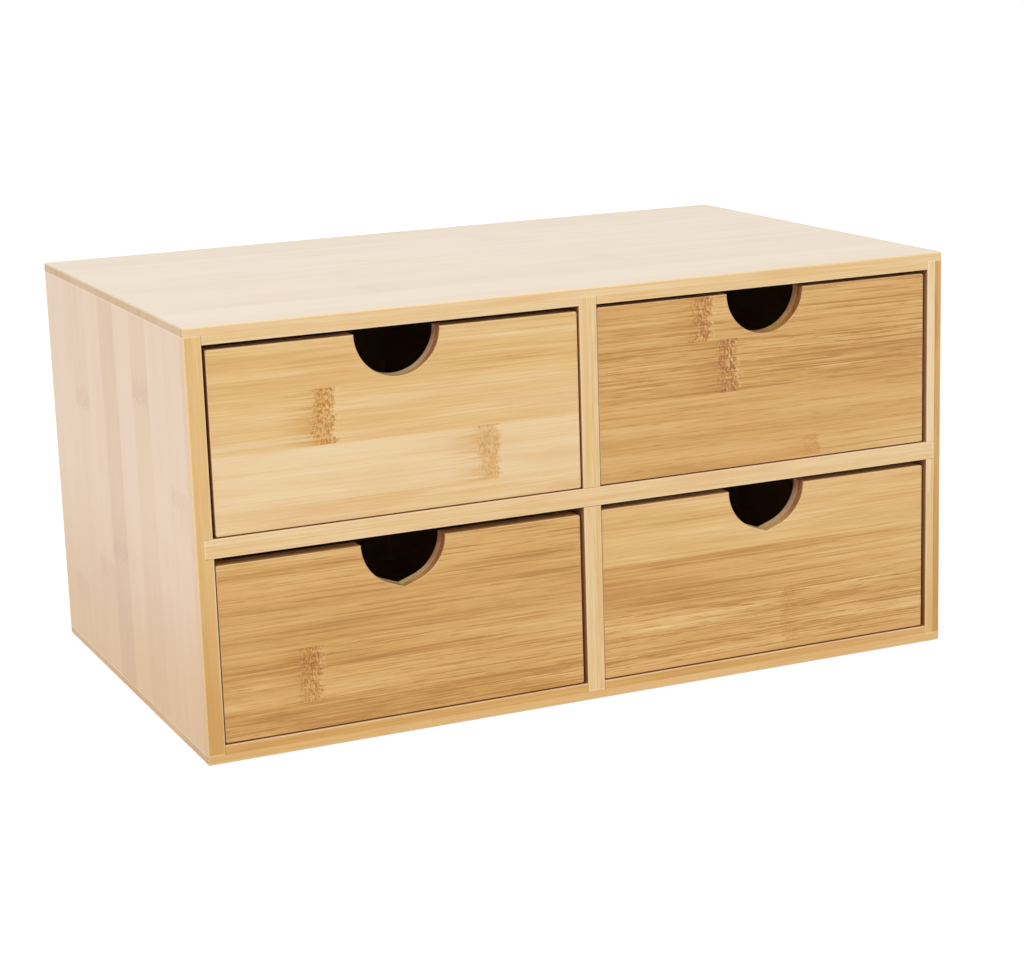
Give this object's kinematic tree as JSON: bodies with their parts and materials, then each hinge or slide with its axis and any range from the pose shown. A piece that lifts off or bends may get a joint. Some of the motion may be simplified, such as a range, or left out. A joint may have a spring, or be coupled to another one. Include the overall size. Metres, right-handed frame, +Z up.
{
  "type": "desktop drawer organizer",
  "caption": "Bamboo desktop cabinet with open bays for small sliding drawers, each pulled by a rounded finger notch in the top edge of its front.",
  "frame": {"origin": "middle of the cabinet's underside", "axes": "+X to the right, +Y to the back, +Z up; the drawers open along -Y"},
  "size_m": [0.33, 0.205, 0.169],
  "materials": {
    "cabinet_bamboo": "satin",
    "front_bamboo": "satin",
    "drawer_bamboo": "matte",
    "thin_board": "matte"
  },
  "bodies": {
    "cabinet": {"top_panel": "cabinet_bamboo", "bottom_panel": "cabinet_bamboo", "left_side": "cabinet_bamboo", "right_side": "cabinet_bamboo", "shelf": "cabinet_bamboo", "divider": "cabinet_bamboo", "back_panel": "thin_board"},
    "upper_left_drawer": {"upper_left_drawer_front": "front_bamboo", "upper_left_drawer_left_wall": "drawer_bamboo", "upper_left_drawer_right_wall": "drawer_bamboo", "upper_left_drawer_back": "drawer_bamboo", "upper_left_drawer_bottom": "thin_board"},
    "upper_right_drawer": {"upper_right_drawer_front": "front_bamboo", "upper_right_drawer_left_wall": "drawer_bamboo", "upper_right_drawer_right_wall": "drawer_bamboo", "upper_right_drawer_back": "drawer_bamboo", "upper_right_drawer_bottom": "thin_board"},
    "lower_left_drawer": {"lower_left_drawer_front": "front_bamboo", "lower_left_drawer_left_wall": "drawer_bamboo", "lower_left_drawer_right_wall": "drawer_bamboo", "lower_left_drawer_back": "drawer_bamboo", "lower_left_drawer_bottom": "thin_board"},
    "lower_right_drawer": {"lower_right_drawer_front": "front_bamboo", "lower_right_drawer_left_wall": "drawer_bamboo", "lower_right_drawer_right_wall": "drawer_bamboo", "lower_right_drawer_back": "drawer_bamboo", "lower_right_drawer_bottom": "thin_board"}
  },
  "joints": [
    {"name": "upper_left_drawer_slide", "type": "slide", "parent": "cabinet", "child": "upper_left_drawer", "axis": [0, -1, 0], "range_m": [0, 0.145]},
    {"name": "upper_right_drawer_slide", "type": "slide", "parent": "cabinet", "child": "upper_right_drawer", "axis": [0, -1, 0], "range_m": [0, 0.145]},
    {"name": "lower_left_drawer_slide", "type": "slide", "parent": "cabinet", "child": "lower_left_drawer", "axis": [0, -1, 0], "range_m": [0, 0.145]},
    {"name": "lower_right_drawer_slide", "type": "slide", "parent": "cabinet", "child": "lower_right_drawer", "axis": [0, -1, 0], "range_m": [0, 0.145]}
  ]
}
